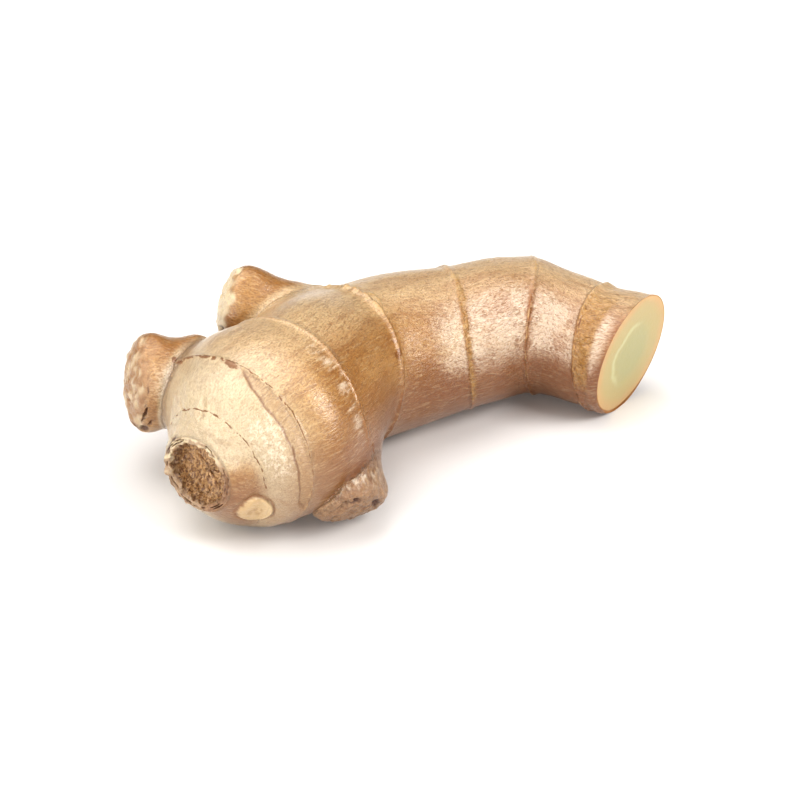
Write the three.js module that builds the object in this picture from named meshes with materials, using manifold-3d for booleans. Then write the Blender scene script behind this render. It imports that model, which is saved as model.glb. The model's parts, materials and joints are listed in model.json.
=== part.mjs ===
// Ginger root: one piece of rhizome lying on its side. A stout body bends round from the scar where it
// broke off its parent to the end where it was cut, with growth rings across it and the stubs of three
// broken side shoots on it. Millimetres, +Z up. The origin is on the surface that it lies on, under
// the middle of its box.

import * as THREE from 'three';
import { mergeVertices } from 'three/addons/utils/BufferGeometryUtils.js';
import Module from 'manifold-3d';

const wasm = await Module();
wasm.setup();

const degree = Math.PI / 180;

// The body's stations, from the broken end to the cut: where its axis passes, how far its underside is
// above the surface, half its width and height there, and which way the station faces, with yaw 0
// along +X. Six of them are growth rings. Each leaves a ridge on the skin, and wanders along it once
// and twice in a turn: by so many millimetres, furthest towards the cut at so many degrees from the top.
const stations = [
  { x: -44, y: -36.5, lift: 10, halfWidth: 10, halfHeight: 8.5, yaw: 50, pitch: -8 },
  { x: -40, y: -32, lift: 2, halfWidth: 14, halfHeight: 15, yaw: 52, pitch: 6 },
  { x: -34.5, y: -23.5, lift: 0.2, halfWidth: 23.5, halfHeight: 19.5, yaw: 42, pitch: 3 },
  { x: -21.5, y: -11, lift: 0.2, halfWidth: 22.5, halfHeight: 20.5, yaw: 42, pitch: 4 },
  { x: -13, y: 6.5, lift: 0.2, halfWidth: 19.5, halfHeight: 18, yaw: 43, pitch: -13 },
  { x: 12.5, y: 20, lift: 0.3, halfWidth: 17.5, halfHeight: 16.5, yaw: 12, pitch: 1 },
  { x: 30.5, y: 26.5, lift: 0.4, halfWidth: 15.5, halfHeight: 16, yaw: 0, pitch: -2 },
  { x: 46.5, y: 19.5, lift: 0.6, halfWidth: 13.5, halfHeight: 14.5, yaw: -31, pitch: 7 },
  { x: 53.5, y: 16, lift: 0, halfWidth: 13.5, halfHeight: 15.5, yaw: -37, pitch: -8 },
];
const rings = [
  { ridge: 0.2, wander: [0, 0, 0, 0] }, // rim of the break
  { ridge: 0.4, wander: [0.3, 180, 0.3, 24] }, // collar
  { ridge: 0.8, wander: [0.7, -114, 1.5, 49] },
  { ridge: 0.5, wander: [3, 156, 2.5, 13] },
  { ridge: 0.8, wander: [1.4, 13, 0, 0] },
  { ridge: 0.6, wander: [1.2, 128, 1, -13] },
  { ridge: 0.6, wander: [1.7, -149, 1.7, -2] },
  { ridge: 0.7, wander: [0.5, 86, 0.3, -49] },
  { ridge: 0, wander: [0, 0, 0, 0] }, // cut
];
const ridgeWidth = 0.9; // a ring's ridge falls to a third of its height this far from its crest
const ridgeWave = 0.3; // share by which the ridge's height changes round the ring
const internodeSwelling = 0.5; // how far the skin bulges half way between two rings
// Shallow hollows and humps all over the body, waves that run along it and round it.
const humps = [
  { depth: 0.22, along: 2.1, round: 2, phase: 0 },
  { depth: 0.22, along: 3.7, round: -3, phase: 1 },
];

// Buds on the skin: the low round scar of one between the collar and the first ring, on the near side,
// and a small one that never grew, on the far side.
const buds = [
  { station: 0.74, angle: 115, radius: 4.4, flat: 0.55, height: 0.9 },
  { station: 5.9, angle: -100, radius: 4, flat: 0.1, height: 2 },
];

// The broken end is a ragged rim round a sunken floor of dry fibres: shares of its half width and
// height, from the rim's crest in to the floor, and millimetres in along the axis. The cut end is flat.
const breakHollow = {
  crest: 0.96, rim: 0.88, wall: 0.78, floor: 0.4, lip: 0.5, depth: 3.4, dip: 0.4, raggedness: 0.35,
};
const cutSkinEdge = 0.97;
const cutVascularRing = 0.62;

// The stubs of the side shoots: the middle of the scarred end, which way it faces, half its width and
// height, and its outline as distances back from the end and shares of the half width and height.
const stubs = [
  { // left
    end: [-60, -7, 22], yaw: 195, pitch: 8, halfWidth: 9.5, halfHeight: 11.3,
    outline: [[-1.6, 0], [-1.3, 0.35], [-0.6, 0.65], [0.6, 0.87], [2.5, 0.98], [5, 1], [8, 0.95],
      [11, 0.94], [14, 0.98], [18, 0.86], [22, 0.5], [23, 0]],
  },
  { // back
    end: [-40, 18, 28.5], yaw: 177, pitch: 16, halfWidth: 8.6, halfHeight: 9.2,
    outline: [[-1.6, 0], [-1.3, 0.35], [-0.6, 0.65], [0.6, 0.87], [2.5, 0.97], [5, 1], [8, 0.96],
      [11, 0.91], [14, 0.92], [18, 0.96], [23, 0.6], [25, 0]],
  },
  { // front
    end: [-10.3, -33.6, 7], yaw: -66, pitch: -35, halfWidth: 9.3, halfHeight: 8.4,
    outline: [[-1.2, 0], [-1, 0.35], [-0.4, 0.65], [0.6, 0.86], [2.5, 0.96], [5, 1], [8, 1.02],
      [11, 1.06], [15, 1.1], [19, 0.9], [22, 0.5], [23, 0]],
  },
];
const stubFold = { count: 4, depth: 0.35, back: 3, reach: 3 }; // folds round the scarred ends
const stubLobes = { count: 3, depth: 0.3 }; // how a stub's outline leaves its oval

// The surface that the root lies on, larger than the root and deeper than anything pressed into it.
const groundWidth = 400;
const groundDepth = 20;

// How finely the surfaces are divided.
const sidesOfBody = 54;
const sidesOfStub = 28;
const rowsOfStub = 18;
const rowsBesideRing = [0.8, 1.9]; // millimetres before and after each ring
const rowSpacing = 3.6; // millimetres, between the rings

// A natural cubic spline through values at 0, 1, 2, ...: slope and curvature run on from span to span.
function spline(values) {
  const last = values.length - 1;
  const factor = new Array(last + 1).fill(0);
  const bend = new Array(last + 1).fill(0);
  for (let i = 1; i < last; i += 1) {
    const pivot = 4 - factor[i - 1];
    factor[i] = 1 / pivot;
    bend[i] = (6 * (values[i + 1] - 2 * values[i] + values[i - 1]) - bend[i - 1]) / pivot;
  }
  for (let i = last - 1; i > 0; i -= 1) {
    bend[i] -= factor[i] * bend[i + 1];
  }
  return (u) => {
    const i = Math.min(Math.max(Math.floor(u), 0), last - 1);
    const t = u - i;
    const s = 1 - t;
    return values[i] * s + values[i + 1] * t + ((s ** 3 - s) * bend[i] + (t ** 3 - t) * bend[i + 1]) / 6;
  };
}

function vectorSpline(vectors) {
  const [x, y, z] = ['x', 'y', 'z'].map((axis) => spline(vectors.map((v) => v[axis])));
  return (u) => new THREE.Vector3(x(u), y(u), z(u));
}

// The directions of a slice across a branch: along its axis, up and sideways.
function facing(yaw, pitch) {
  const along = new THREE.Vector3(
    Math.cos(yaw * degree) * Math.cos(pitch * degree),
    Math.sin(yaw * degree) * Math.cos(pitch * degree),
    Math.sin(pitch * degree),
  );
  const up = new THREE.Vector3(0, 0, 1);
  up.addScaledVector(along, -up.dot(along)).normalize();
  const side = new THREE.Vector3().crossVectors(along, up);
  return { along, up, side };
}

const slices = stations.map((station) => {
  const { along, up, side } = facing(station.yaw, station.pitch);
  return {
    centre: new THREE.Vector3(station.x, station.y, station.lift + station.halfHeight * up.z),
    along,
    up: up.multiplyScalar(station.halfHeight),
    side: side.multiplyScalar(station.halfWidth),
  };
});
const centreAt = vectorSpline(slices.map((slice) => slice.centre));
const upAt = vectorSpline(slices.map((slice) => slice.up));
const sideAt = vectorSpline(slices.map((slice) => slice.side));
const lastStation = stations.length - 1;
const spans = slices.slice(1).map((slice, i) => slice.centre.distanceTo(slices[i].centre));

// A point on the body's plain oval slices, before its rings and humps.
function plainPoint(u, angle) {
  const out = upAt(u).multiplyScalar(Math.cos(angle)).addScaledVector(sideAt(u), Math.sin(angle));
  return { centre: centreAt(u), out };
}

const budCentres = buds.map((bud) => {
  const { centre, out } = plainPoint(bud.station, bud.angle * degree);
  return centre.add(out);
});

// How far ring k has moved along the axis at an angle, as a share of the spans beside it.
function drift(k, angle) {
  const [once, onceAt, twice, twiceAt] = rings[k].wander;
  const length = (spans[Math.max(k - 1, 0)] + spans[Math.min(k, lastStation - 1)]) / 2;
  const moved = once * Math.cos(angle - onceAt * degree) + twice * Math.cos(2 * (angle - twiceAt * degree));
  return moved / length;
}

// How far the skin stands out of the oval: the ridge of the nearest ring, which waves a little, the
// swelling between rings, shallow humps that die out at both ends, and the buds.
function relief(station, angle, here) {
  const span = Math.min(Math.floor(station), lastStation - 1);
  const within = station - span;
  let height = internodeSwelling * Math.sin(Math.PI * within) ** 2;
  for (const [k, distance] of [[span, within * spans[span]], [span + 1, (1 - within) * spans[span]]]) {
    const wave = 1 + ridgeWave * Math.sin(3 * angle + 2 * k);
    height += rings[k].ridge * wave * Math.exp(-((distance / ridgeWidth) ** 2));
  }
  const calm = Math.min(station, 1, lastStation - station);
  humps.forEach((hump) => {
    height += hump.depth * calm * Math.sin(hump.along * station + hump.round * angle + hump.phase);
  });
  buds.forEach((bud, i) => {
    const away = here.distanceTo(budCentres[i]);
    height += bud.height * (1 - THREE.MathUtils.smoothstep(away, bud.flat * bud.radius, bud.radius));
  });
  return height;
}

// A point of the skin. Stations are counted along the wandering rings, so ring k is at station k.
function skinPoint(station, angle) {
  const k = Math.min(Math.floor(station), lastStation - 1);
  const moved = THREE.MathUtils.lerp(drift(k, angle), drift(k + 1, angle), station - k);
  const { centre, out } = plainPoint(station + moved, angle);
  const radius = out.length();
  const height = relief(station, angle, centre.clone().add(out));
  return centre.addScaledVector(out, (radius + height) / radius);
}

// A closed surface from rows of points round a branch, with a single point at each end.
function closedSurface(firstPoint, rows, lastPoint) {
  const sides = rows[0].length;
  const points = [firstPoint, ...rows.flat(), lastPoint];
  const index = [];
  for (let j = 0; j < sides; j += 1) {
    const next = (j + 1) % sides;
    index.push(0, 1 + next, 1 + j);
    for (let i = 0; i < rows.length - 1; i += 1) {
      const here = 1 + i * sides;
      const ahead = here + sides;
      index.push(here + j, here + next, ahead + j);
      index.push(here + next, ahead + next, ahead + j);
    }
    const end = 1 + (rows.length - 1) * sides;
    index.push(end + j, end + next, points.length - 1);
  }
  const geometry = new THREE.BufferGeometry();
  geometry.setAttribute('position', new THREE.Float32BufferAttribute(points.flatMap((p) => p.toArray()), 3));
  geometry.setIndex(index);
  return geometry;
}

function turns(sides) {
  return Array.from({ length: sides }, (unused, j) => (2 * Math.PI * j) / sides);
}

// Where the rows of the body lie: at each ring, close beside it, and evenly in between.
function rowStations() {
  const places = [0];
  spans.forEach((length, i) => {
    const [near, far] = rowsBesideRing;
    const inner = Math.max(1, Math.round((length - 2 * far) / rowSpacing));
    const offsets = [near];
    for (let k = 0; k <= inner; k += 1) {
      offsets.push(far + ((length - 2 * far) * k) / inner);
    }
    offsets.push(length - near, length);
    places.push(...offsets.map((offset) => i + offset / length));
  });
  return places;
}

function bodyGeometry() {
  const angles = turns(sidesOfBody);
  const inward = slices[0].along;
  const breakCentre = slices[0].centre;
  const breakRow = (share, depth) => angles.map((angle) => {
    const ragged = breakHollow.raggedness * Math.sin(5 * angle + 1) * Math.sin(2 * angle);
    const { out } = plainPoint(0, angle);
    return breakCentre.clone().addScaledVector(out, share).addScaledVector(inward, depth + ragged);
  });
  const cutRow = (share) => angles.map((angle) => {
    const rim = skinPoint(lastStation, angle);
    return rim.lerp(slices[lastStation].centre, 1 - share);
  });
  const rows = [
    breakRow(breakHollow.floor, breakHollow.depth + breakHollow.dip),
    breakRow(breakHollow.wall, breakHollow.depth),
    breakRow(breakHollow.rim, 0),
    breakRow(breakHollow.crest, -breakHollow.lip),
    ...rowStations().map((u) => angles.map((angle) => skinPoint(u, angle))),
    cutRow(cutSkinEdge),
    cutRow(cutVascularRing),
  ];
  const floorCentre = breakCentre.clone().addScaledVector(inward, breakHollow.depth);
  return closedSurface(floorCentre, rows, slices[lastStation].centre);
}

function stubGeometry(stub, number) {
  const { along, up, side } = facing(stub.yaw, stub.pitch);
  const end = new THREE.Vector3(...stub.end);
  const backAt = spline(stub.outline.map(([back]) => back));
  const shareAt = spline(stub.outline.map(([, share]) => share));
  const lastPoint = stub.outline.length - 1;
  const angles = turns(sidesOfStub);
  const point = (u, angle) => {
    const back = backAt(u);
    const nearEnd = Math.exp(-(((back - stubFold.back) / stubFold.reach) ** 2));
    const fold = stubFold.depth * nearEnd * Math.sin(stubFold.count * angle + number);
    const lobe = stubLobes.depth * Math.sin(stubLobes.count * angle + number);
    const share = Math.max(shareAt(u), 0) * (1 + (fold + lobe) / stub.halfWidth);
    return end.clone()
      .addScaledVector(along, -back)
      .addScaledVector(up, share * stub.halfHeight * Math.cos(angle))
      .addScaledVector(side, share * stub.halfWidth * Math.sin(angle));
  };
  const rows = [];
  for (let i = rowsOfStub - 1; i >= 1; i -= 1) {
    const u = (lastPoint * i) / rowsOfStub;
    rows.push(angles.map((angle) => point(u, angle)));
  }
  return closedSurface(point(lastPoint, 0), rows, point(0, 0));
}

function toSolid(geometry) {
  const merged = geometry.clone();
  merged.deleteAttribute('normal');
  merged.deleteAttribute('uv');
  const whole = mergeVertices(merged, 1e-4);
  return new wasm.Manifold(new wasm.Mesh({
    numProp: 3,
    vertProperties: new Float32Array(whole.attributes.position.array),
    triVerts: new Uint32Array(whole.index.array),
  }));
}

function toGeometry(solid) {
  const mesh = solid.getMesh();
  const geometry = new THREE.BufferGeometry();
  geometry.setAttribute('position', new THREE.Float32BufferAttribute(mesh.vertProperties, 3));
  geometry.setIndex(new THREE.Uint32BufferAttribute(mesh.triVerts, 1));
  return geometry;
}

// The body and its stubs are one piece of root, flattened a little where it lies.
function rhizomeGeometry() {
  let root = toSolid(bodyGeometry());
  stubs.forEach((stub, number) => {
    root = root.add(toSolid(stubGeometry(stub, number)));
  });
  const ground = new THREE.BoxGeometry(groundWidth, groundWidth, groundDepth);
  ground.translate(0, 0, -groundDepth / 2);
  const geometry = toGeometry(root.subtract(toSolid(ground)));
  geometry.computeBoundingBox();
  const middle = geometry.boundingBox.getCenter(new THREE.Vector3());
  return geometry.translate(-middle.x, -middle.y, -geometry.boundingBox.min.z);
}

const skin = new THREE.MeshStandardMaterial({ color: 0xc9a676, roughness: 0.5, metalness: 0 });

const gingerRoot = new THREE.Group();
const rhizome = new THREE.Mesh(rhizomeGeometry(), skin);
rhizome.name = 'rhizome';
gingerRoot.add(rhizome);

export default gingerRoot;
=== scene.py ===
import json

import bpy
import numpy as np
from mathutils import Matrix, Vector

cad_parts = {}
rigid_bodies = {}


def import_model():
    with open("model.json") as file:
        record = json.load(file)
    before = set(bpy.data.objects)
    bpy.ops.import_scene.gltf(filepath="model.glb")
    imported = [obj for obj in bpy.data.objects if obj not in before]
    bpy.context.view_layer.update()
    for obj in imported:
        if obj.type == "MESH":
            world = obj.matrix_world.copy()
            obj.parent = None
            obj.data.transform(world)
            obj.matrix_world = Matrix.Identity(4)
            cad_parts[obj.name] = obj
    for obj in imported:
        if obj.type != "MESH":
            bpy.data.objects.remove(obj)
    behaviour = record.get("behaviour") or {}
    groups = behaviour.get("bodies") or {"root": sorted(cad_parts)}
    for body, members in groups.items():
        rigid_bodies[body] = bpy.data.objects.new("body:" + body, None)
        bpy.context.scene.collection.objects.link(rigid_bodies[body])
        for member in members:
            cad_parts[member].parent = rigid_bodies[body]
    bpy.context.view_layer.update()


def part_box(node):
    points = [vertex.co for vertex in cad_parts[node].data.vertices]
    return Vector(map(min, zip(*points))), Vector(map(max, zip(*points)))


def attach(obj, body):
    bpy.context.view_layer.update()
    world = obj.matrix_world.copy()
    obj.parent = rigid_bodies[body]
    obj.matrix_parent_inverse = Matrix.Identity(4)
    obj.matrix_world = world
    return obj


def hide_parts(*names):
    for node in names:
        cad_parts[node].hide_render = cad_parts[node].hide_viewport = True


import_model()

# The body of the root
# A ginger rhizome is one swollen stem that crept underground. This one bends round from the scar where
# it broke off its parent to a clean knife cut, and each growth ring is the foot of a withered scale leaf.
# All sizes are in millimetres until the mesh is made.

# Each station: where the axis passes (x, y), how far the underside is above the table, half the width,
# half the height, and the way the slice faces as yaw and pitch in degrees.
STATIONS = np.array([
    (-44, -36.5, 10, 10, 8.5, 50, -8),  # rim of the break
    (-40, -32, 2, 14, 15, 52, 6),  # collar
    (-34.5, -23.5, 0.2, 23.5, 19.5, 42, 3),  # first ring
    (-21.5, -11, 0.2, 22.5, 20.5, 42, 4),
    (-13, 6.5, 0.2, 19.5, 18, 43, -13),
    (12.5, 20, 0.3, 17.5, 16.5, 12, 1),
    (30.5, 26.5, 0.4, 15.5, 16, 0, -2),
    (46.5, 19.5, 0.6, 13.5, 14.5, -31, 7),  # sixth ring
    (53.5, 16, 0, 13.5, 15.5, -37, -8),  # cut
])
LAST = len(STATIONS) - 1
# Each ring: the height of its ridge, and how far it wanders along the skin once and twice in a turn,
# each with the angle where it has gone furthest towards the cut.
RINGS = np.array([
    (0.0, 0, 0, 0, 0),
    (0.15, 0.3, 180, 0.3, 24),
    (0.35, 0.7, -114, 1.5, 49),
    (0.3, 3, 156, 2.5, 13),
    (0.5, 1.4, 13, 0, 0),
    (0.35, 1.2, 128, 1, -13),
    (0.35, 1.7, -149, 1.7, -2),
    (0.5, 0.5, 86, 0.3, -49),
    (0.0, 0, 0, 0, 0),
])
RIDGE_WIDTH = 0.7  # a ridge falls to a third of its height this far from its crest
SWELLING = 0.5  # the skin bulges this much half way between two rings
# Shallow humps that run along the body and round it: depth, waves along, waves round, phase.
HUMPS = [(0.22, 2.1, 2, 0), (0.22, 3.7, -3, 1)]
# Buds: station, angle, radius, share of it that is flat, height. The first is the round scar of one on
# the near side, and the second a small sleeping one on the far side.
BUDS = [(0.74, 115, 4.4, 0.7, 0.7), (5.9, -100, 4, 0.1, 1.8)]


def spline(values):
    """Natural cubic spline through values at 0, 1, 2, ...: one cubic on each span, whose slope and
    curvature run on into the next, and no curvature at the two ends."""
    last = len(values) - 1
    system = np.eye(last + 1)
    system[1:-1] = [np.convolve(row, (1, 4, 1), "same") for row in system[1:-1]]
    pull = np.zeros_like(values)
    pull[1:-1] = 6 * (values[2:] - 2 * values[1:-1] + values[:-2])
    bend = np.linalg.solve(system, pull)

    def at(place):
        i = np.clip(np.floor(place).astype(int), 0, last - 1)
        t = (place - i)[..., None]
        s = 1 - t
        return values[i] * s + values[i + 1] * t + ((s**3 - s) * bend[i] + (t**3 - t) * bend[i + 1]) / 6

    return at


def facing(yaw, pitch):
    """Directions of a slice: along its axis by yaw and pitch, up at right angles to that, and sideways,
    which is the cross product of the two."""
    yaw, pitch = np.radians(yaw), np.radians(pitch)
    along = np.stack([np.cos(yaw) * np.cos(pitch), np.sin(yaw) * np.cos(pitch), np.sin(pitch)], -1)
    up = np.array([0, 0, 1.0]) - along * along[..., 2:]
    up /= np.linalg.norm(up, axis=-1, keepdims=True)
    return along, up, np.cross(along, up)


slice_along, slice_up, slice_side = facing(STATIONS[:, 5], STATIONS[:, 6])
slice_centre = np.column_stack([STATIONS[:, :2], STATIONS[:, 2] + STATIONS[:, 4] * slice_up[:, 2]])
centre_at = spline(slice_centre)
up_at = spline(slice_up * STATIONS[:, 4:5])
side_at = spline(slice_side * STATIONS[:, 3:4])
SPANS = np.linalg.norm(np.diff(slice_centre, axis=0), axis=1)
BESIDE = (np.r_[SPANS[0], SPANS] + np.r_[SPANS, SPANS[-1]]) / 2  # mean length of the spans beside each


def out_of(place, angle):
    """From the axis to the plain oval: up times the cosine of the angle plus side times its sine."""
    return up_at(place) * np.cos(angle)[..., None] + side_at(place) * np.sin(angle)[..., None]


def moved(station, angle):
    """How far the rings have wandered, in stations: one wave and two waves round each ring, blended in
    a straight line between the two rings beside the station."""
    k = np.clip(np.floor(station).astype(int), 0, LAST - 1)
    drift = []
    for ring in (k, k + 1):
        _, once, once_at, twice, twice_at = np.moveaxis(RINGS[ring], -1, 0)
        waves = once * np.cos(angle - np.radians(once_at))
        waves = waves + twice * np.cos(2 * (angle - np.radians(twice_at)))
        drift.append(waves / BESIDE[ring])
    return drift[0] + (drift[1] - drift[0]) * (station - k)


def smooth(value, low, high):
    """0 below low, 1 above high and 3t*t - 2t*t*t between."""
    t = np.clip((value - low) / (high - low), 0, 1)
    return t * t * (3 - 2 * t)


def bump(distance, width):
    """A bell of height 1 that falls to a third at width."""
    return np.exp(-((distance / width) ** 2))


bud_centre = []
for at, turned, *_ in BUDS:
    at, turned = np.array(at), np.radians(np.array(turned))
    bud_centre.append(centre_at(at) + out_of(at, turned))


def big_relief(station, angle, here):
    """Height of the skin over the plain oval: swelling between rings, a wavy ridge at each ring, humps
    that die out at both ends, and the buds, each a plateau with a smooth edge."""
    k = np.clip(np.floor(station).astype(int), 0, LAST - 1)
    within = station - k
    height = SWELLING * np.sin(np.pi * within) ** 2
    for ring, share in ((k, within), (k + 1, 1 - within)):
        uneven = 1 + 0.3 * np.sin(3 * angle + 2 * ring)
        height += RINGS[ring, 0] * uneven * bump(share * SPANS[k], RIDGE_WIDTH)
    calm = np.minimum(np.minimum(station, 1), LAST - station)
    for depth, along, round_it, phase in HUMPS:
        height += depth * calm * np.sin(along * station + round_it * angle + phase)
    for (_, _, radius, flat, high), centre in zip(BUDS, bud_centre):
        away = np.linalg.norm(here - centre, axis=-1)
        height += high * (1 - smooth(away, flat * radius, radius))
    return height


def skin_points(station, angle):
    """Points of the skin on a grid: the plain oval pushed out along its own radius by the relief."""
    place = station + moved(station, angle)
    out = out_of(place, angle)
    centre = centre_at(place)
    radius = np.linalg.norm(out, axis=-1, keepdims=True)
    return centre + out * (1 + big_relief(station, angle, centre + out)[..., None] / radius)


SIDES = 208
FINE_ROWS = 0.16 * np.arange(1, 9)  # distances of the close rows on both sides of each ring
ROW_SPACING = (0.4, 0.27, 0.5, 0.5, 0.6, 0.55, 0.55, 0.45)  # and of the rows between them, span by span
# The break: share of the oval and depth in along the axis, from the middle of the floor over the rim.
BREAK = [
    (0.0, 3.6), (0.2, 3.8), (0.4, 3.9), (0.6, 3.8), (0.7, 3.2), (0.745, 1.6),
    (0.79, 0.1), (0.85, -0.5), (0.91, -0.5), (0.96, -0.4),
]
BREAK_ROWS = 25
CUT_ROWS = 12
KNIFE_MARKS = 0.01  # millimetres that the fibres of the flesh stand proud of the cut

angles = np.linspace(0, 2 * np.pi, SIDES, endpoint=False)
row_stations = [np.zeros(1)]
for k, (span, spacing) in enumerate(zip(SPANS, ROW_SPACING)):
    middle = np.arange(FINE_ROWS[-1], span - FINE_ROWS[-1], spacing)[1:]
    row_stations.append(k + np.r_[FINE_ROWS, middle, span - FINE_ROWS[::-1], span] / span)
row_stations = np.concatenate(row_stations)
body_rows = skin_points(*np.broadcast_arrays(row_stations[:, None], angles[None]))
break_profile = spline(np.array(BREAK))(np.linspace(0, len(BREAK) - 1, BREAK_ROWS + 1))[1:]
uneven_depth = 0.35 * np.sin(5 * angles + 1) * np.sin(2 * angles)
break_rows = (
    slice_centre[0]
    + break_profile[:, None, :1] * out_of(np.zeros(1), angles)[None]
    + (break_profile[:, 1:] + uneven_depth)[..., None] * slice_along[0]
)
cut_share = np.r_[0.99, np.linspace(0.97, 0.06, CUT_ROWS)][:, None, None]
cut_rows = slice_centre[-1] + (body_rows[-1] - slice_centre[-1]) * cut_share
cut_rows += KNIFE_MARKS * (np.sin(9 * cut_share + 2 * angles[:, None]) - 1) * slice_along[-1]
floor_middle = slice_centre[0] + BREAK[0][1] * slice_along[0]


def closed_surface(name, first, rows, last):
    """A grid of rows round a branch, each cell split in two triangles, with a fan to a point at each
    end. Millimetres become metres here."""
    count, sides = rows.shape[:2]
    points = np.concatenate([[first], rows.reshape(-1, 3), [last]])
    j = np.arange(sides)
    following = (j + 1) % sides
    start = 1 + sides * np.arange(count - 1)[:, None]
    here, beside = start + j, start + following
    ahead, across = here + sides, beside + sides
    end = 1 + (count - 1) * sides
    faces = [
        np.stack([0 * j, 1 + following, 1 + j], -1),
        np.stack([here, beside, ahead], -1).reshape(-1, 3),
        np.stack([beside, across, ahead], -1).reshape(-1, 3),
        np.stack([end + j, end + following, 0 * j + len(points) - 1], -1),
    ]
    mesh = bpy.data.meshes.new(name)
    mesh.from_pydata(points * 0.001, [], np.concatenate(faces))
    made = bpy.data.objects.new(name, mesh)
    bpy.context.collection.objects.link(made)
    return made


root = closed_surface(
    "ginger_rhizome", floor_middle, np.concatenate([break_rows, body_rows, cut_rows]), slice_centre[-1]
)

# The stubs of the side shoots
# Three fingers branched off the body and were snapped off. What is left of each is a short waisted stub
# with a dry scarred end, of the same flesh and skin as the body.

# The middle of the end, yaw, pitch, half width, half height.
STUBS = {
    "left": ((-60, -7, 22), 195, 8, 9.5, 11.3),
    "back": ((-40, 18, 28.5), 177, 16, 8.6, 9.2),
    "front": ((-10.3, -33.6, 7), -66, -35, 9.3, 8.4),
}
# Outlines: distance back from the end and share of the half width and height.
OUTLINES = {
    "left": [(-1.6, 0), (-1.3, 0.35), (-0.6, 0.65), (0.6, 0.87), (2.5, 0.98), (5, 1), (8, 0.95),
             (11, 0.94), (14, 0.98), (18, 0.86), (22, 0.5), (23, 0)],
    "back": [(-1.6, 0), (-1.3, 0.35), (-0.6, 0.65), (0.6, 0.87), (2.5, 0.97), (5, 1), (8, 0.96),
             (11, 0.91), (14, 0.92), (18, 0.96), (23, 0.6), (25, 0)],
    "front": [(-1.2, 0), (-1, 0.35), (-0.4, 0.65), (0.6, 0.86), (2.5, 0.96), (5, 1), (8, 1.02),
              (11, 1.06), (15, 1.1), (19, 0.9), (22, 0.5), (23, 0)],
}
STUB_SIDES = 80
STUB_ROWS = 64


def stub_surface(name, number):
    """An oval tube that follows the outline back from the scarred end, with four soft folds round the
    end and three lobes all along."""
    end, yaw, pitch, half_width, half_height = STUBS[name]
    along, up, side = facing(np.array(yaw), np.array(pitch))
    outline = np.array(OUTLINES[name], float)
    # The rows lie closer together towards the scarred end.
    rows = (len(outline) - 1) * np.linspace(1, 0, STUB_ROWS + 1) ** 1.4
    profile = spline(outline)(rows)
    turn = np.linspace(0, 2 * np.pi, STUB_SIDES, endpoint=False)
    back, share = profile[:, :1], np.maximum(profile[:, 1:], 0)
    fold = 0.35 * bump(back - 3, 3) * np.sin(4 * turn + number)
    lobe = 0.3 * np.sin(3 * turn + number)
    share = share * (1 + (fold + lobe) / half_width)
    points = (
        np.array(end)
        - back[..., None] * along
        + (share * half_height * np.cos(turn))[..., None] * up
        + (share * half_width * np.sin(turn))[..., None] * side
    )
    return closed_surface(f"stub_{name}", points[0, 0], points[1:-1], points[-1, 0])


# Body and stubs are one piece of root, so their surfaces are joined into one.
for number, name in enumerate(STUBS):
    stub = stub_surface(name, number)
    join = root.modifiers.new(f"join_{name}", "BOOLEAN")
    join.operation = "UNION"
    join.solver = "MANIFOLD"
    join.object = stub
joined = bpy.data.meshes.new_from_object(root.evaluated_get(bpy.context.evaluated_depsgraph_get()))
root.modifiers.clear()
root.data = joined
for name in STUBS:
    bpy.data.objects.remove(bpy.data.objects[f"stub_{name}"])

count = len(joined.vertices)
places = np.empty(count * 3)
joined.vertices.foreach_get("co", places)
places = places.reshape(-1, 3) * 1000

SAMPLES_PER_SPAN = 80


def straightened(points):
    """Where each point is on the body: its slice, angle and share of the oval. The slice is the one
    whose plane the point lies in, found where the distance to the plane changes sign, nearest first."""
    samples = np.linspace(0, LAST, SAMPLES_PER_SPAN * LAST + 1)
    middles, ups, sides = centre_at(samples), up_at(samples), side_at(samples)
    normals = np.cross(ups, sides)
    normals /= np.linalg.norm(normals, axis=1, keepdims=True)
    ahead = points @ normals.T - (middles * normals).sum(1)
    away = (points**2).sum(1)[:, None] - 2 * points @ middles.T + (middles**2).sum(1)
    crosses = (ahead[:, :-1] >= 0) & (ahead[:, 1:] < 0)
    i = np.where(crosses, away[:, :-1], np.inf).argmin(1)
    none = ~crosses.any(1)
    i[none] = np.where(ahead[none, 0] < 0, 0, len(samples) - 2)
    row = np.arange(len(points))
    t = np.clip(ahead[row, i] / (ahead[row, i] - ahead[row, i + 1]), 0, 1)
    place = (i + t) * samples[1]
    from_axis = points - centre_at(place)
    upward, sideways = up_at(place), side_at(place)
    high = (from_axis * upward).sum(1) / (upward**2).sum(1)
    wide = (from_axis * sideways).sum(1) / (sideways**2).sum(1)
    return place, np.arctan2(wide, high), np.hypot(wide, high)


# Done in eight lots, which keeps the table of points and slices small.
lots = [straightened(lot) for lot in np.array_split(places, 8)]
place, angle, share = (np.concatenate(column) for column in zip(*lots))
# How far the rings have wandered depends on the station itself, so it is found in a few rounds.
station = place.copy()
for _ in range(5):
    station = np.clip(place - moved(station, angle), 0, LAST)
radius = np.linalg.norm(out_of(place, angle), axis=1)
outside = (share - 1) * radius  # millimetres out of the plain oval

stub_back, stub_share, stub_angle = {}, {}, {}
for name, (end, yaw, pitch, half_width, half_height) in STUBS.items():
    along, up, side = facing(np.array(yaw), np.array(pitch))
    from_end = places - end
    stub_back[name] = -from_end @ along
    high, wide = from_end @ up / half_height, from_end @ side / half_width
    stub_share[name] = np.hypot(high, wide)
    stub_angle[name] = np.arctan2(wide, high)

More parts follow.
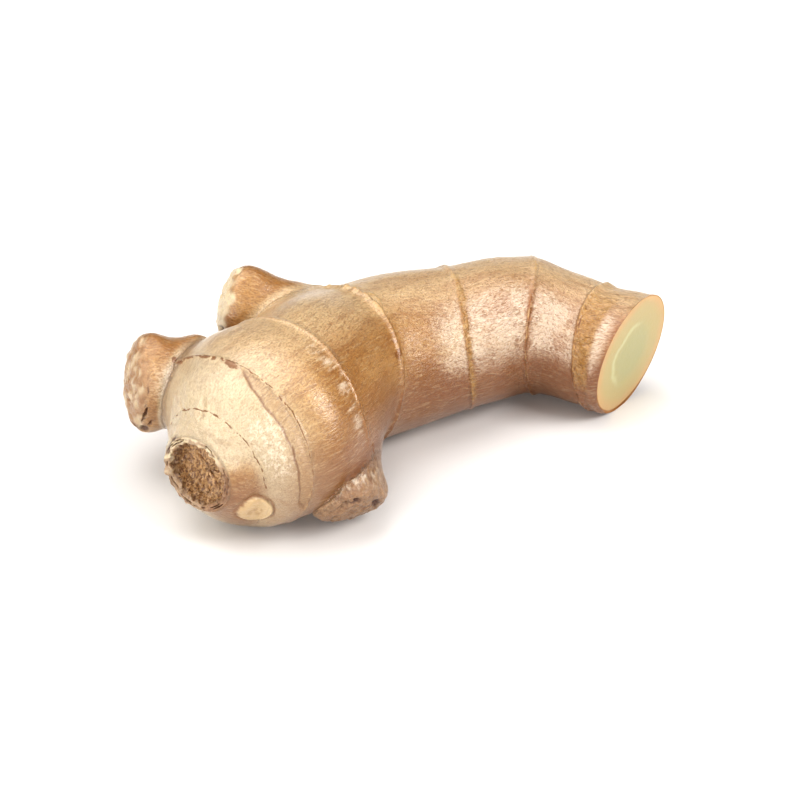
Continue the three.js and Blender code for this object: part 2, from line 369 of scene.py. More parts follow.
# Where a stub leaves the body the skin runs on in a soft hollow: the crease is filled by up to a
# quarter of the blend's width, less the further a point is from one of the two surfaces, and relaxed.
BLENDS = {"left": 3.2, "back": 6.0, "front": 4.5}
RELAX_PASSES = 30
edges = np.empty(len(joined.edges) * 2, int)
joined.edges.foreach_get("vertices", edges)
edges = edges.reshape(-1, 2)
neighbours = np.bincount(edges.ravel(), minlength=count)
joined.calc_loop_triangles()
corners = np.empty(len(joined.loop_triangles) * 3, int)
joined.loop_triangles.foreach_get("vertices", corners)
corners = corners.reshape(-1, 3)


def neighbour_mean(values):
    """Mean of each point's neighbours along the mesh's edges."""
    columns = []
    for column in np.atleast_2d(values.T):
        total = np.bincount(edges[:, 0], column[edges[:, 1]], count)
        total += np.bincount(edges[:, 1], column[edges[:, 0]], count)
        columns.append(total / neighbours)
    return np.stack(columns, -1)


def normals_of(points):
    """Normal of each point: the sum of its triangles' cross products, which weights them by area."""
    a, b, c = (points[corners[:, i]] for i in range(3))
    faces = np.cross(b - a, c - a)
    total = [np.bincount(corners.ravel(), np.repeat(faces[:, i], 3), count) for i in range(3)]
    total = np.stack(total, -1)
    return total / np.maximum(np.linalg.norm(total, axis=1, keepdims=True), 1e-12)


to_body = np.abs(outside - big_relief(station, angle, centre_at(place) + out_of(place, angle)))
crease = np.zeros(count)
fold = np.zeros(count)
filled = np.zeros(count)
of_stub = {}
for name, (_, _, _, half_width, _) in STUBS.items():
    outline = np.array(OUTLINES[name], float)
    profile = spline(outline)(np.linspace(0, len(outline) - 1, 200))
    outline_share = np.interp(stub_back[name], profile[:, 0], profile[:, 1])
    to_stub = np.abs(stub_share[name] - outline_share) * half_width
    near = (stub_back[name] > 4) & (stub_back[name] < 21)
    closeness = np.where(near, np.clip(1 - (to_body + to_stub) / BLENDS[name], 0, 1), 0)
    crease = np.maximum(crease, closeness)
    filled = np.maximum(filled, BLENDS[name] / 4 * closeness**2)
    around = (stub_back[name] < 21) & (stub_share[name] < 1.8)
    of_stub[name] = smooth(to_body - to_stub, -0.8, 0.8) * around
    if name != "back":  # painted shade darkens the sharper creases only
        fold = np.maximum(fold, near * bump(to_body + to_stub, 2.0))
places += normals_of(places) * filled[:, None]
for _ in range(RELAX_PASSES):
    places += (neighbour_mean(places) - places) * (0.9 * smooth(crease, 0.1, 0.7))[:, None]

# The fine relief of the skin
# Ginger skin is a thin dry cork over moist flesh. It is finely ribbed along the stem, crinkled where the
# root has begun to dry, and torn and puckered at the rings. Broken ends dry to a rough pitted scar.

NOISE_CELLS = 32  # the noise repeats after this many cells
NOISE_GAIN = 1.7
SLOPES = np.random.default_rng(7).normal(size=(NOISE_CELLS, NOISE_CELLS, NOISE_CELLS, 3))
SLOPES /= np.linalg.norm(SLOPES, axis=-1, keepdims=True)
TILT = np.array([(1, 0.31, 0.23), (-0.27, 1, 0.35), (-0.19, -0.29, 1)])  # keeps the grid from showing


def noise(points):
    """Smooth noise from about -1 to 1: a random slope through zero at each corner of a tilted unit grid,
    and the eight slopes of a cell blended across it."""
    points = points @ TILT
    cell = np.floor(points).astype(int)
    t = points - cell
    blend = t**3 * (t * (t * 6 - 15) + 10)
    total = np.zeros(points.shape[:-1])
    for corner in np.ndindex(2, 2, 2):
        i, j, k = np.moveaxis((cell + corner) % NOISE_CELLS, -1, 0)
        total += (SLOPES[i, j, k] * (t - corner)).sum(-1) * np.where(corner, blend, 1 - blend).prod(-1)
    return total * NOISE_GAIN


def layered(points, layers):
    """Noise with finer layers, each at half the size and half the strength of the one before."""
    return sum(noise(points * 2.0**n + 7.3 * n) / 2.0**n for n in range(layers))


def between(value, low, high, edge):
    """1 between low and high and 0 outside, with edges that are soft for the given width either way."""
    return smooth(value, low - edge, low + edge) * (1 - smooth(value, high - edge, high + edge))


def past_ring(ring):
    """Millimetres along the stem past a ring, negative short of it."""
    return (station - ring) * np.where(station < ring, SPANS[ring - 1], SPANS[ring])


along_mm = np.interp(station, np.arange(LAST + 1), np.r_[0, np.cumsum(SPANS)])
straight = np.column_stack([along_mm, radius * np.cos(angle), radius * np.sin(angle)])
degrees = np.degrees(angle)
on_stub = smooth(outside, 1.6, 4.0)
to_cut = (places - slice_centre[-1]) @ slice_along[-1]
on_cut = smooth(to_cut, -0.3, -0.1)
in_break = smooth(0.99 - share, 0, 0.04) * smooth(1.6 - station, 0, 0.3)
dryness = smooth(along_mm, 40, 85)  # the end near the cut has dried the most
skin_only = (1 - on_stub) * (1 - in_break) * (1 - on_cut)

warp = layered(straight / 5.0, 2)[:, None] * (0.6, 1.2, 1.2)
ribs = 0.03 * noise(straight / (11, 1.4, 1.4)) + 0.14 * layered(straight / (16, 7, 7), 2)
crinkle = 0.05 * dryness * noise((straight + 1.5 * warp) / (3.4, 1.5, 1.5))
collar = smooth(1.75 - station, 0, 0.6) * between(degrees, -100, 60, 25)
collar_ribs = 0.22 * collar * noise((straight + 0.5 * warp) / (9, 1.8, 1.8))
height = ribs + crinkle + collar_ribs
# The back of the bend is nearly flat between the fifth ring, which stands out there, and the sixth.
height += bump(degrees + 25, 60) * (0.5 * bump(station - 6, 0.2) - 1.1 * bump(station - 6.5, 0.3))

# At each ring: how wide its papery rim is in millimetres and how much it shows, how dark the crack at
# its foot is and between which angles it runs, and how deep the skin is puckered beside it.
RIMS = [
    # station, rim width, rim shows, crack, from, to, pucker
    (1, 0.4, 0.3, 0.9, -110, 95, 0.08),
    (2, 0.4, 0.5, 1.0, -110, 112, 0.06),
    (3, 0.28, 0.45, 0.7, 20, 115, 0.05),
    (4, 0.35, 0.6, 0.9, 40, 130, 0.08),
    (5, 0.7, 0.85, 0.4, 10, 120, 0.12),
    (6, 0.45, 0.75, 1.0, 35, 140, 0.12),
    (7, 0.5, 0.6, 0.8, 20, 140, 0.16),
]
paper = np.zeros(count)
crack = np.zeros(count)
ragged = noise(straight / 2.6) + 0.6 * noise(straight / (0.9, 1.1, 1.1))
dashes = smooth(layered((straight + 3) / (0.9, 1.1, 1.1), 2), -0.45, 0.1)
patchy = 0.1 + 0.9 * smooth(layered(straight / 4.0 + 2, 2), -0.3, 0.4)
for ring, wide, shows, dark, first, final, pucker in RIMS:
    gap = past_ring(ring)
    rim = bump(gap + 0.35 * ragged, wide)
    paper += shows * patchy * rim
    line = dark * dashes * between(degrees, first, final, 8) * bump(gap - 0.25 - 0.35 * ragged, 0.24)
    crack += line
    height += 0.12 * shows * patchy * rim * (1 + ragged) - 0.3 * line
    height += pucker * bump(gap, 2.2) * noise((straight + warp) / (3.0, 1.3, 1.3))

# At the first ring the outer skin is torn away on the near side: a band from the ring itself to a
# ragged edge up to 2.6 mm nearer the break, which starts at a dark curled flake on top.
gap = past_ring(2)
band_width = 2.6 * smooth(degrees, -4, 28) * (1 - smooth(degrees, 102, 116))
edge = -band_width * (1 + 0.12 * noise(straight / 4.0)) + 0.12 * noise(straight / 0.9)
torn = smooth(gap, edge - 0.10, edge + 0.10) * smooth(-gap, 0.0, 0.4) * smooth(band_width, 0.2, 0.9)
# A thin brown line on the band just below the ragged edge: painted shadow of the step of skin above it.
painted_edge_shadow = bump(gap - edge - 0.2, 0.25) * smooth(band_width, 0.3, 1.0)
left_tears = bump(gap + 0.2 - 0.5 * ragged, 0.45) * between(degrees, -75, -6, 5) * smooth(dashes, 0, 0.6)
flake = bump(gap + 0.5 - 0.3 * ragged, 0.6) * bump(degrees + 4 + 5 * gap, 7.5)
height += -0.42 * torn + 0.25 * flake
crack = np.maximum(crack, np.maximum(0.9 * flake, left_tears))

# Loose flakes of paper stand up beside the third ring, and wrinkled flaps lie at the fourth and sixth.
gap = past_ring(4)
peeled = between(gap, -1.0, 3.4, 0.6) * between(degrees, -35, 22, 8)
peeled *= smooth(layered(straight / (2.2, 1.8, 1.8) + 3, 2), 0.05, 0.25)
flap = between(past_ring(7), -0.2, 4.2, 0.8) * between(degrees, 5, 100, 15)
flap = np.maximum(flap, bump(past_ring(5) - 0.3 - 0.3 * ragged, 1.0) * between(degrees, 5, 110, 15))
height += 0.3 * peeled + 0.4 * flap * layered((straight + warp) / (1.5, 1.2, 1.2) + 8, 2)
paper += 0.7 * peeled

# Two brown spots sit on the third ring.
for at, turned in ((3.96, 55), (3.97, 94)):
    away = np.hypot((station - at) * SPANS[3] / 1.3, np.radians(degrees - turned) * radius)
    crack = np.maximum(crack, smooth(1.3 + 0.4 * ragged - away, 0, 0.5))

# The bud scar is a shallow dish with a groove round it.
bud = np.linalg.norm(places - bud_centre[0], axis=1) / BUDS[0][2]
bud += 0.08 * noise(places / 2.5)
height += -0.35 * bump(bud - 0.98, 0.10) + 0.12 * bump(bud - 0.8, 0.12) - 0.15 * bump(bud, 0.5)
height *= skin_only
crack *= smooth(bud, 0.9, 1.1)

# Pale waxy bloom that the skin keeps where nothing has rubbed it, laid on where the skin shows its satin
# highlights, so that it is partly painted highlight: short of the second ring, in a patch before the
# first, between the rings of the dried half, and on two of the stubs.
bloom_and_sheen = bump(past_ring(3) + 2.4, 2.4) * between(degrees, 12, 82, 16)
bloom_and_sheen = np.maximum(bloom_and_sheen, between(station, 1.1, 1.85, 0.25) * between(degrees, 30, 80, 16))
bloom_and_sheen = bloom_and_sheen * smooth(layered(straight / (6.0, 1.0, 1.0) + 6, 2), -0.9, 0.7)
cloudy = 0.65 + 0.35 * smooth(layered(straight / (7, 5, 5) + 9, 2), -1, 0.5)
dry_bloom_and_sheen = dryness * between(degrees, 22, 85, 22) * cloudy
dry_bloom_and_sheen *= between(station, 4.5, 7.9, 0.3) * (1 - 0.8 * flap)
for ring in (5, 6, 7):
    dry_bloom_and_sheen *= 1 - 0.7 * bump(past_ring(ring) - 0.3 * ragged, 0.8)
bloom_and_sheen = np.maximum(bloom_and_sheen, dry_bloom_and_sheen)
bloom_and_sheen *= skin_only
round_mm = np.radians(np.degrees(stub_angle["left"]) + 62) * STUBS["left"][4]
bloom_and_sheen = np.maximum(bloom_and_sheen, of_stub["left"] * bump(round_mm, 6) * bump(stub_back["left"] - 7, 5))
round_mm = stub_angle["front"] * STUBS["front"][4]
fibrous = smooth(noise(places / (0.9, 1.6, 1.6)), -0.3, 0.4)
near_end = bump(stub_back["front"] - 4, 4)
bloom_and_sheen = np.maximum(bloom_and_sheen, of_stub["front"] * fibrous * bump(round_mm, 11) * near_end)

# Stub ends are rough with torn fibres and pits. Each: how brown its skin is, and how far back in
# millimetres the scar reaches.
scarred = np.zeros(count)
stub_tone = np.zeros(count)
for name, tone, reach in (("left", 0.25, 3.5), ("back", 0.1, 1.5), ("front", 1.0, 5)):
    on_end = smooth(1.5 - stub_share[name], 0, 0.3) * smooth(outside, 1, 3)
    ragged_back = stub_back[name] + 1.2 * noise(places / 3.0)
    scarred = np.maximum(scarred, (0.86 + 0.14 * tone) * on_end * smooth(reach - ragged_back, 0, reach))
    stub_tone = np.maximum(stub_tone, tone * of_stub[name])
pits = layered(places / 2.0 + 5, 3)
height += on_stub * 0.12 * layered(places / 4.0, 2)
height += scarred * (0.34 * pits - 0.35 * smooth(-pits, 0.25, 0.7))

# The broken end: a knobbly corky rim with cracks between its layers, and a sunken floor of torn fibres.
break_floor = in_break * smooth(0.8 + 0.05 * noise(places / 1.5) - share, 0, 0.03)
wavy_layer = bump(share - 0.92 - 0.015 * noise(places / 2.0), 0.012)
rim_layers = np.maximum(bump(share - 0.86, 0.012), wavy_layer)
rim_layers *= smooth(noise(places / 2.2 + 9), -0.3, 0.2)
left_edge = (station < 0.3) * bump(share - 0.985 + 0.02 * noise(places / 1.2), 0.018)
left_edge = left_edge * between(degrees, -160, -45, 10)
left_hole = bump(share - 0.93, 0.06) * bump(degrees + 72, 10)
rim_crack = in_break * np.maximum(rim_layers, left_hole) + left_edge
shreds = layered(places / (1.0, 1.0, 1.6) + 2, 3)
knobs = in_break * (1 - break_floor) * between(share, 0.78, 0.97, 0.03)
height += break_floor * (0.6 * shreds + 0.3 * noise(places / 3.2))
height += 0.45 * knobs * layered(places / 1.5, 2) - 0.5 * rim_crack

# Nicks: short deep tears, seen as dark slots, whose near-black colour is partly painted shade in the
# slot.
NICKS = [
    # stub, degrees round it, millimetres back, length round, width
    ("left", -140, 2.2, 2.0, 0.9),
    ("left", -155, 0.8, 1.6, 0.7),
    ("left", -105, 1.2, 3.0, 0.2),
    ("left", -62, 1.6, 2.2, 0.16),
    ("left", -120, 3.0, 1.0, 0.35),
    ("front", -72, -0.6, 2.6, 0.25),
    ("front", 128, 0.8, 2.8, 0.28),
    ("front", 20, -0.2, 2.6, 0.12),
    ("front", -95, 1.4, 2.2, 0.25),
    ("back", -120, 0.6, 2.0, 0.6),
]
NICK_DEPTH = 0.8
nick = np.zeros(count)
for name, at, back, long, wide in NICKS:
    mean_half = (STUBS[name][3] + STUBS[name][4]) / 2
    round_mm = (np.degrees(stub_angle[name]) - at + 180) % 360 - 180
    round_mm = np.radians(round_mm) * mean_half * stub_share[name]
    shape = bump(round_mm, long) * bump(stub_back[name] - back - 0.25 * noise(places / 1.5), wide)
    nick = np.maximum(nick, shape * smooth(outside, 1.0, 2.0) * smooth(1.7 - stub_share[name], 0, 0.3))
height -= NICK_DEPTH * smooth(nick, 0.25, 0.8)

places += normals_of(places) * height[:, None]
places[:, 2] = np.maximum(places[:, 2], 0)  # nothing reaches below the table

# The finished surface fills the solid's box and stands on the same ground.
low, high = (np.array(corner) * 1000 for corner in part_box("rhizome"))
lowest, highest = places.min(0), places.max(0)
places = low + (places - lowest) * (high - low) / (highest - lowest)
joined.vertices.foreach_set("co", (places * 0.001).ravel())
joined.shade_smooth()
joined.set_sharp_from_angle(angle=np.radians(62))  # the rim of the knife cut stays sharp
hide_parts("rhizome")
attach(root, "root")

# Where the scars are pale: along the upper edge of the break and on the ends of two stubs.
pale_scar = in_break * smooth(noise(places / 1.7 + 4), -0.5, 0.1) * between(degrees, -110, 45, 15)
pale_scar = np.maximum(pale_scar, of_stub["back"])
pale_scar = np.maximum(pale_scar, 0.7 * of_stub["left"] * smooth(layered(places / 3.0 + 1, 3), -0.5, 0.5))

# What the materials read from the surface, one number a point.
# How much the skin faces down; this drives the painted shade of the underside.
downward = smooth(np.cos(angle - 2.2), 0.2, 1)
beside_break = between(degrees, 55, 160, 15) * smooth(1.25 - station, 0, 0.6)
young = (1 - smooth(station, 1, 3)) * (1 - 0.7 * beside_break)
skin_marks = {
    "paper": paper * skin_only,
    "crack": crack * skin_only,
    "torn": torn * skin_only,
    "painted_edge_shadow": painted_edge_shadow * skin_only,
    "bloom_and_sheen": bloom_and_sheen,
    "flap": flap * skin_only,
    "dryness": dryness,
    # The top of the root is painted paler: painted light falling from above.
    "painted_top_light": smooth(np.cos(angle + 0.6), 0.1, 1) * (1 - on_stub),
    # The underside is painted darker: painted shade.
    "painted_underside_shade": downward * (1 - on_stub),
    # Paler young skin near the break, with less of it underneath: partly painted shade.
    "young": young * (1 - on_stub) * (1 - 0.4 * downward),
    "stub_tone": stub_tone,
    "scarred": np.maximum(scarred, in_break),
    "pale_scar": pale_scar,
    "break_floor": break_floor,
    # The outer part of the break's floor, at the foot of its wall, is painted dark: painted shade in the
    # hollow.
    "painted_wall_shade": break_floor * smooth(share + 0.04 * noise(places / 2.0), 0.66, 0.76),
    "nick": np.maximum(smooth(nick, 0.2, 0.6), rim_crack),
    # The creases where the left and front stubs leave the body are painted brown: painted shade.
    "fold": fold,
    "bud_edge": bump(bud - 1.0, 0.07) * skin_only,
    "bud_disc": smooth(0.95 - bud, 0, 0.1) * skin_only,
    "bud_heart": smooth(0.5 - bud, 0, 0.15) * smooth(noise(places / 1.2), -0.4, 0.3) * skin_only,
    "wrinkling": 0.95 + dryness + flap + stub_tone + bloom_and_sheen,
}
flesh_marks = {
    "cut_share": share,
    "vessels_clear": 0.2 + 0.8 * smooth(np.cos(angle - np.radians(65)), -0.2, 0.6),
}
for name, values in {**skin_marks, **flesh_marks}.items():
    joined.attributes.new(name, "FLOAT", "POINT").data.foreach_set("value", values.astype(np.float32))
# The skin's own coordinates in millimetres: along the stem, up and sideways, and on a stub along that.
# Stubs and break are moved away by 50 and 100 mm, so that they don't repeat the pattern beside them.
flow = straight.copy()
for name, (_, _, _, half_width, half_height) in STUBS.items():
    on_this = of_stub[name] > 0.5
    high, wide = np.cos(stub_angle[name]) * half_height, np.sin(stub_angle[name]) * half_width
    own = np.column_stack([stub_back[name], stub_share[name] * high, stub_share[name] * wide])
    flow[on_this] = own[on_this] + 50
flow[in_break > 0.5] = places[in_break > 0.5][:, [2, 0, 1]] + 100
flow_mark = joined.attributes.new("flow", "FLOAT_VECTOR", "POINT")
flow_mark.data.foreach_set("vector", flow.astype(np.float32).ravel())


def linear(code):
    """An sRGB hex colour as linear light, with nothing see-through."""
    values = np.array([int(code[i:i + 2], 16) for i in (1, 3, 5)]) / 255
    light = np.where(values <= 0.04045, values / 12.92, ((values + 0.055) / 1.055) ** 2.4)
    return (*light, 1.0)


def node(tree, kind, inputs, output=0, **settings):
    """Adds a node, sets its properties and fills its inputs, by name or number, with constants or with
    other nodes' outputs. Gives back the output asked for, of those that the node shows, if it has any."""
    made = tree.nodes.new("ShaderNode" + kind)
    for name, value in settings.items():
        setattr(made, name, value)
    for key, value in inputs.items():
        shown = [s for s in made.inputs if s.enabled]
        socket = shown[key] if isinstance(key, int) else next(s for s in shown if s.name == key)
        if isinstance(value, bpy.types.NodeSocket):
            tree.links.new(value, socket)
        else:
            socket.default_value = value
    return next(iter([s for s in made.outputs if s.enabled][output:]), None)


# Outputs by number: a coordinate node's place on the object, and an attribute as vector and as number.
ON_OBJECT, AS_VECTOR, AS_NUMBER = 3, 1, 2


def new_material(name):
    """A material with an empty node tree, and that tree."""
    made = bpy.data.materials.new(name)
    made.use_nodes = True
    made.node_tree.nodes.clear()
    return made, made.node_tree


# Corky skin of fresh ginger: a waxy film of cork cells with a satin sheen, cream where it is young and
# tan where it has dried, with fine fibres along the stem, papery rims and brown cracks at the rings.
skin, tree = new_material("ginger_cork_skin")
here = node(tree, "TexCoord", {}, ON_OBJECT)
on_skin = node(tree, "Attribute", {}, AS_VECTOR, attribute_name="flow")
shows = {name: node(tree, "Attribute", {}, AS_NUMBER, attribute_name=name) for name in skin_marks}

# Noises in the skin's own millimetres.
PATTERNS = {
    # size along the stem, size round it, detail, roughness, distortion
    "blotch": (24, 14, 3.0, 0.55, 0.0),
    "streak": (16, 2.2, 4.0, 0.6, 0.0),
    "fibre": (4, 0.5, 3.0, 0.6, 0.5),
    "wrinkle": (1.2, 0.5, 2.0, 0.5, 1.2),
    "grain": (0.55, 0.3, 2.0, 0.6, 0.0),
    "tear": (0.5, 0.7, 3.0, 0.6, 0.0),
    "mottle": (1.3, 1.1, 4.0, 0.65, 0.4),
    "shred": (1.0, 0.6, 3.0, 0.6, 0.8),
}
for name, (along, round_it, detail, roughness, distortion) in PATTERNS.items():
    per_mm = (1 / along, 1 / round_it, 1 / round_it)
    stretched = node(tree, "VectorMath", {0: on_skin, 1: per_mm}, operation="MULTIPLY")
    shows[name] = node(tree, "TexNoise", {"Vector": stretched, "Scale": 1.0, "Detail": detail,
                                          "Roughness": roughness, "Distortion": distortion})

# Places that two of these make together: name, how they are joined, and the two.
for name, rule, first, second in [
    ("dry_blotch", "SUBTRACT", "dryness", "blotch"),
    ("rim", "ADD", "paper", "tear"),
    ("cracked", "ADD", "crack", "tear"),
    ("crinkled", "MULTIPLY", "wrinkle", "wrinkling"),
    ("bloom_and_glints", "MULTIPLY", "bloom_and_sheen", "wrinkle"),
    ("pale_end", "MULTIPLY", "scarred", "pale_scar"),
    ("dark_mottle", "SUBTRACT", "scarred", "mottle"),
    ("dark_stub", "SUBTRACT", "stub_tone", "mottle"),
    ("dark_shred", "SUBTRACT", "break_floor", "shred"),
]:
    shows[name] = node(tree, "Math", {0: shows[first], 1: shows[second]}, operation=rule)

# Coats of colour, each laid over the ones before: what it shows, between which values it comes in, how
# much of it, and the colour.
colour = linear("#a0733c")
for name, low, high, most, code in [
    ("blotch", 0.38, 0.64, 1.0, "#b38c57"),
    ("dry_blotch", 0.1, 0.5, 0.75, "#8c541e"),
    # painted light: the top is made paler
    ("painted_top_light", 0.0, 1.0, 0.8, "#cdb48e"),
    # painted shade: the underside is made darker
    ("painted_underside_shade", 0.0, 1.0, 0.75, "#7a450e"),
    ("young", 0.0, 1.0, 0.8, "#bbaa8c"),
    ("streak", 0.48, 0.7, 0.4, "#8c5c2c"),
    ("torn", 0.0, 1.0, 0.6, "#a07a4c"),
    ("flap", 0.0, 1.0, 0.75, "#ad8548"),
    ("stub_tone", 0.0, 1.0, 0.95, "#a17d56"),
    ("dark_stub", 0.35, 0.62, 0.65, "#5e3a1c"),
    ("fibre", 0.5, 0.68, 0.27, "#d8c29c"),
    # The low lines of the crinkle are darkened: painted shade in its valleys.
    ("wrinkle", 0.54, 0.34, 0.4, "#6e4218"),
    ("grain", 0.54, 0.36, 0.3, "#683c1c"),
    ("young", 0.0, 1.0, 0.3, "#d0c3a8"),
    # pale waxy bloom on the crests of the crinkle, partly painted highlight and glints
    ("bloom_and_glints", 0.1, 0.6, 0.55, "#e9dcc8"),
    # painted shadow below the torn edge
    ("painted_edge_shadow", 0.0, 1.0, 0.65, "#704218"),
    ("bud_disc", 0.0, 1.0, 0.6, "#d8bf92"),
    ("bud_heart", 0.0, 1.0, 0.5, "#9a713c"),
    ("bud_edge", 0.0, 1.0, 0.7, "#86592e"),
    ("rim", 0.9, 1.15, 0.5, "#bf9f6c"),
    ("scarred", 0.0, 1.0, 0.6, "#9c7a5c"),
    ("pale_end", 0.0, 1.0, 0.85, "#d8c8a8"),
    ("dark_mottle", 0.45, 0.7, 0.6, "#5e381a"),
    ("break_floor", 0.0, 1.0, 1.0, "#bc986c"),
    ("dark_shred", 0.42, 0.62, 0.9, "#6c4626"),
    # painted shade at the foot of the break's wall
    ("painted_wall_shade", 0.0, 1.0, 0.6, "#4c2a10"),
    ("cracked", 0.95, 1.15, 0.9, "#7c4c10"),
    # brown of torn tissue, made near-black with painted shade in the slots, holes and rim cracks
    ("nick", 0.0, 1.0, 0.85, "#502608"),
    # painted shade in the creases at the stubs
    ("fold", 0.0, 1.0, 0.5, "#653812"),
]:
    amount = node(tree, "MapRange", {"Value": shows[name], "From Min": low, "From Max": high,
                                     "To Max": most}, interpolation_type="SMOOTHSTEP")
    colour = node(tree, "Mix", {"Factor": amount, "A": colour, "B": linear(code)}, data_type="RGBA")

# Pores: dark specks 0.3 mm across with soft edges, some 3 mm apart, where the skin is streaked.
PORE_SPACING = 3.0
pore = node(tree, "TexVoronoi", {"Vector": here, "Scale": 1000 / PORE_SPACING, "Randomness": 1.0})
pore = node(tree, "MapRange", {"Value": pore, "From Min": 0.12, "From Max": 0.05, "To Max": 0.6})
pore = node(tree, "Math", {0: pore, 1: shows["streak"]}, operation="MULTIPLY")
colour = node(tree, "Mix", {"Factor": pore, "A": colour, "B": linear("#7c532d")}, data_type="RGBA")

# The waxy film is a little uneven and dull on the scars. Fibres, wrinkles and grain stand out by up to
# 0.12 mm.
rough = node(tree, "MapRange", {"Value": shows["blotch"], "From Min": 0.35, "From Max": 0.65,
                                "To Min": 0.28, "To Max": 0.4})
rough = node(tree, "Math", {0: shows["scarred"], 1: 0.35, 2: rough}, operation="MULTIPLY_ADD")
relief = node(tree, "Math", {0: shows["fibre"], 1: 0.5, 2: shows["crinkled"]}, operation="MULTIPLY_ADD")
relief = node(tree, "Math", {0: shows["grain"], 1: 0.3, 2: relief}, operation="MULTIPLY_ADD")
bumped = node(tree, "Bump", {"Strength": 1.0, "Distance": 0.00012, "Height": relief})
surface = node(tree, "BsdfPrincipled", {
    "Base Color": colour, "Roughness": rough, "IOR": 1.5, "Normal": bumped,
    "Coat Weight": 1.0, "Coat Roughness": 0.29, "Coat IOR": 1.45, "Coat Normal": bumped,
    "Subsurface Weight": 0.1, "Subsurface Radius": (1.0, 0.55, 0.25), "Subsurface Scale": 0.0015,
})
node(tree, "OutputMaterial", {"Surface": surface})

# Fresh cut flesh: moist and slightly translucent, pale green-yellow in the core, a thin pale line at the
# ring of vessels, straw coloured outside it, with a brown edge of skin.
flesh, tree = new_material("ginger_cut_flesh")
CLOUDS = 6  # millimetres, by which the zones of the flesh waver
FLESH_GRAIN = 0.7
VESSEL_RING = 0.63  # how far out it runs, as a share of the oval with the clouds added
here = node(tree, "TexCoord", {}, ON_OBJECT)
across = node(tree, "Attribute", {}, AS_NUMBER, attribute_name="cut_share")
clear = node(tree, "Attribute", {}, AS_NUMBER, attribute_name="vessels_clear")
soft = node(tree, "TexNoise", {"Vector": here, "Scale": 1000 / CLOUDS, "Detail": 3.0})
fine = node(tree, "TexNoise", {"Vector": here, "Scale": 1000 / FLESH_GRAIN, "Detail": 2.0})
zone = node(tree, "Math", {0: soft, 1: 0.22, 2: across}, operation="MULTIPLY_ADD")
vessels = node(tree, "Math", {0: zone, 1: VESSEL_RING}, operation="SUBTRACT")
vessels = node(tree, "Math", {0: vessels}, operation="ABSOLUTE")
vessels = node(tree, "MapRange", {"Value": vessels, "From Min": 0.1, "From Max": 0.0,
                                  "To Max": 0.45}, interpolation_type="SMOOTHSTEP")
vessels = node(tree, "Math", {0: vessels, 1: clear}, operation="MULTIPLY")
colour = linear("#aca67c")
for value, low, high, most, code in [
    (zone, 0.4, 0.85, 1.0, "#b8a779"),
    (zone, 0.85, 1.1, 1.0, "#c4a477"),
    (vessels, 0.0, 1.0, 1.0, "#d0d4ae"),
    (fine, 0.55, 0.75, 0.25, "#b9a865"),
    (across, 0.972, 0.992, 1.0, "#a06f3c"),
]:
    amount = node(tree, "MapRange", {"Value": value, "From Min": low, "From Max": high,
                                     "To Max": most}, interpolation_type="SMOOTHSTEP")
    colour = node(tree, "Mix", {"Factor": amount, "A": colour, "B": linear(code)}, data_type="RGBA")
bumped = node(tree, "Bump", {"Strength": 0.3, "Distance": 0.0002, "Height": fine})
surface = node(tree, "BsdfPrincipled", {
    "Base Color": colour, "Roughness": 0.34, "IOR": 1.4, "Normal": bumped,
    "Subsurface Weight": 0.3, "Subsurface Radius": (1.0, 0.7, 0.3), "Subsurface Scale": 0.003,
})
node(tree, "OutputMaterial", {"Surface": surface})

joined.materials.clear()
joined.materials.append(skin)
joined.materials.append(flesh)
# A triangle is flesh where all its corners lie in the plane of the cut.
first_loop = np.empty(len(joined.polygons), int)
joined.polygons.foreach_get("loop_start", first_loop)
loop_vertex = np.empty(len(joined.loops), int)
joined.loops.foreach_get("vertex_index", loop_vertex)
on_plane = np.minimum.reduceat((to_cut > -0.05)[loop_vertex].astype(int), first_loop)
joined.polygons.foreach_set("material_index", on_plane)

# The floor
# A plain pale sweep of matt paper, so wide that its edge is neither seen nor reflected.
FLOOR_HALF = 3.0  # metres
sweep = bpy.data.meshes.new("floor")
corners_round = ((-1, -1), (1, -1), (1, 1), (-1, 1))
sweep.from_pydata([(FLOOR_HALF * x, FLOOR_HALF * y, 0) for x, y in corners_round], [], [(0, 1, 2, 3)])
floor = bpy.data.objects.new("floor", sweep)
bpy.context.collection.objects.link(floor)
matt_paper, tree = new_material("matt_white_paper")
surface = node(tree, "BsdfPrincipled", {"Base Color": linear("#e0dedc"), "Roughness": 0.9})
node(tree, "OutputMaterial", {"Surface": surface})
sweep.materials.append(matt_paper)

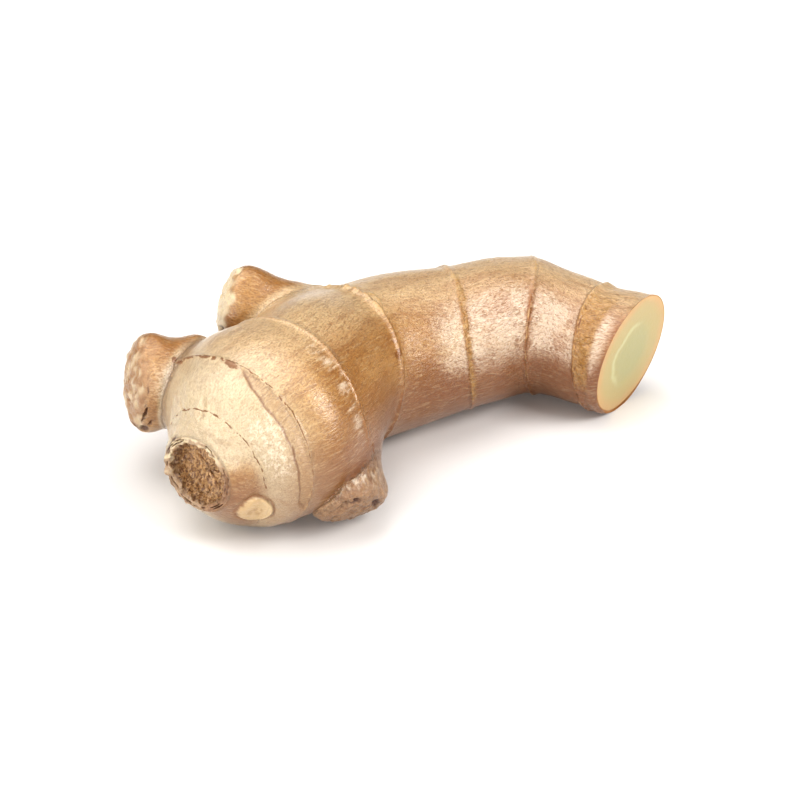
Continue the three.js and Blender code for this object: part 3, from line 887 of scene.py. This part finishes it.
# Lights
# A white surround, a big soft panel above and to the left, one overhead, and three small ones round the
# front and right that draw the satin highlights on the skin.
world = bpy.data.worlds.new("surround")
world.use_nodes = True
surround = world.node_tree.nodes["Background"]
surround.inputs["Color"].default_value = (1, 0.99, 0.98, 1)
surround.inputs["Strength"].default_value = 0.22
bpy.context.scene.world = world


def panel(name, turn, rise, away, size, power):
    """A square panel light that faces the root: degrees right of the front, degrees above the floor,
    metres away, metres wide, and watts."""
    lamp = bpy.data.lights.new(name, "AREA")
    lamp.size = size
    lamp.energy = power
    made = bpy.data.objects.new(name, lamp)
    turn, rise = np.radians(turn), np.radians(rise)
    towards = np.array([np.sin(turn) * np.cos(rise), -np.cos(turn) * np.cos(rise), np.sin(rise)])
    made.location = away * towards
    made.rotation_euler = (np.pi / 2 - rise, 0, turn)
    bpy.context.collection.objects.link(made)


panel("left_key", -98, 58, 1.2, 1.5, 15.0)
panel("right_softbox", 66, 43, 0.9, 0.46, 6.9)
panel("front_softbox", -2, 20, 0.9, 0.3, 3.0)
panel("left_front_softbox", -48, 20, 0.9, 0.3, 2.9)
panel("top_softbox", -170, 75, 1.2, 1.2, 6.8)

# The camera
# It looks down at 34 degrees from 0.7 m, with 4.4 pixels to a millimetre at the root's front.
ELEVATION = np.radians(34)
DISTANCE = 0.7
PIXELS_PER_MM = 4.4
PICTURE = 800
# The point that the camera was fitted to lies 75 pixels below the middle of the picture, and this far
# from the part's own origin.
FITTED_BELOW_CENTRE = 75 / PIXELS_PER_MM * 0.001
FRAME_SHIFT = (0.34 * 0.001, -11.68 * 0.001, 0)
SENSOR = 36
back = np.array([0, -np.cos(ELEVATION), np.sin(ELEVATION)])
upright = np.array([0, np.sin(ELEVATION), np.cos(ELEVATION)])
lens = bpy.data.cameras.new("camera")
lens.sensor_width = SENSOR
lens.lens = SENSOR * PIXELS_PER_MM * DISTANCE * 1000 / PICTURE
camera = bpy.data.objects.new("camera", lens)
camera.location = upright * FITTED_BELOW_CENTRE + back * DISTANCE + FRAME_SHIFT
camera.rotation_euler = (np.pi / 2 - ELEVATION, 0, 0)
bpy.context.collection.objects.link(camera)
bpy.context.scene.camera = camera
# The photograph's middle tones are deeper than the plain curve gives.
bpy.context.scene.view_settings.view_transform = "Standard"
bpy.context.scene.view_settings.gamma = 0.8
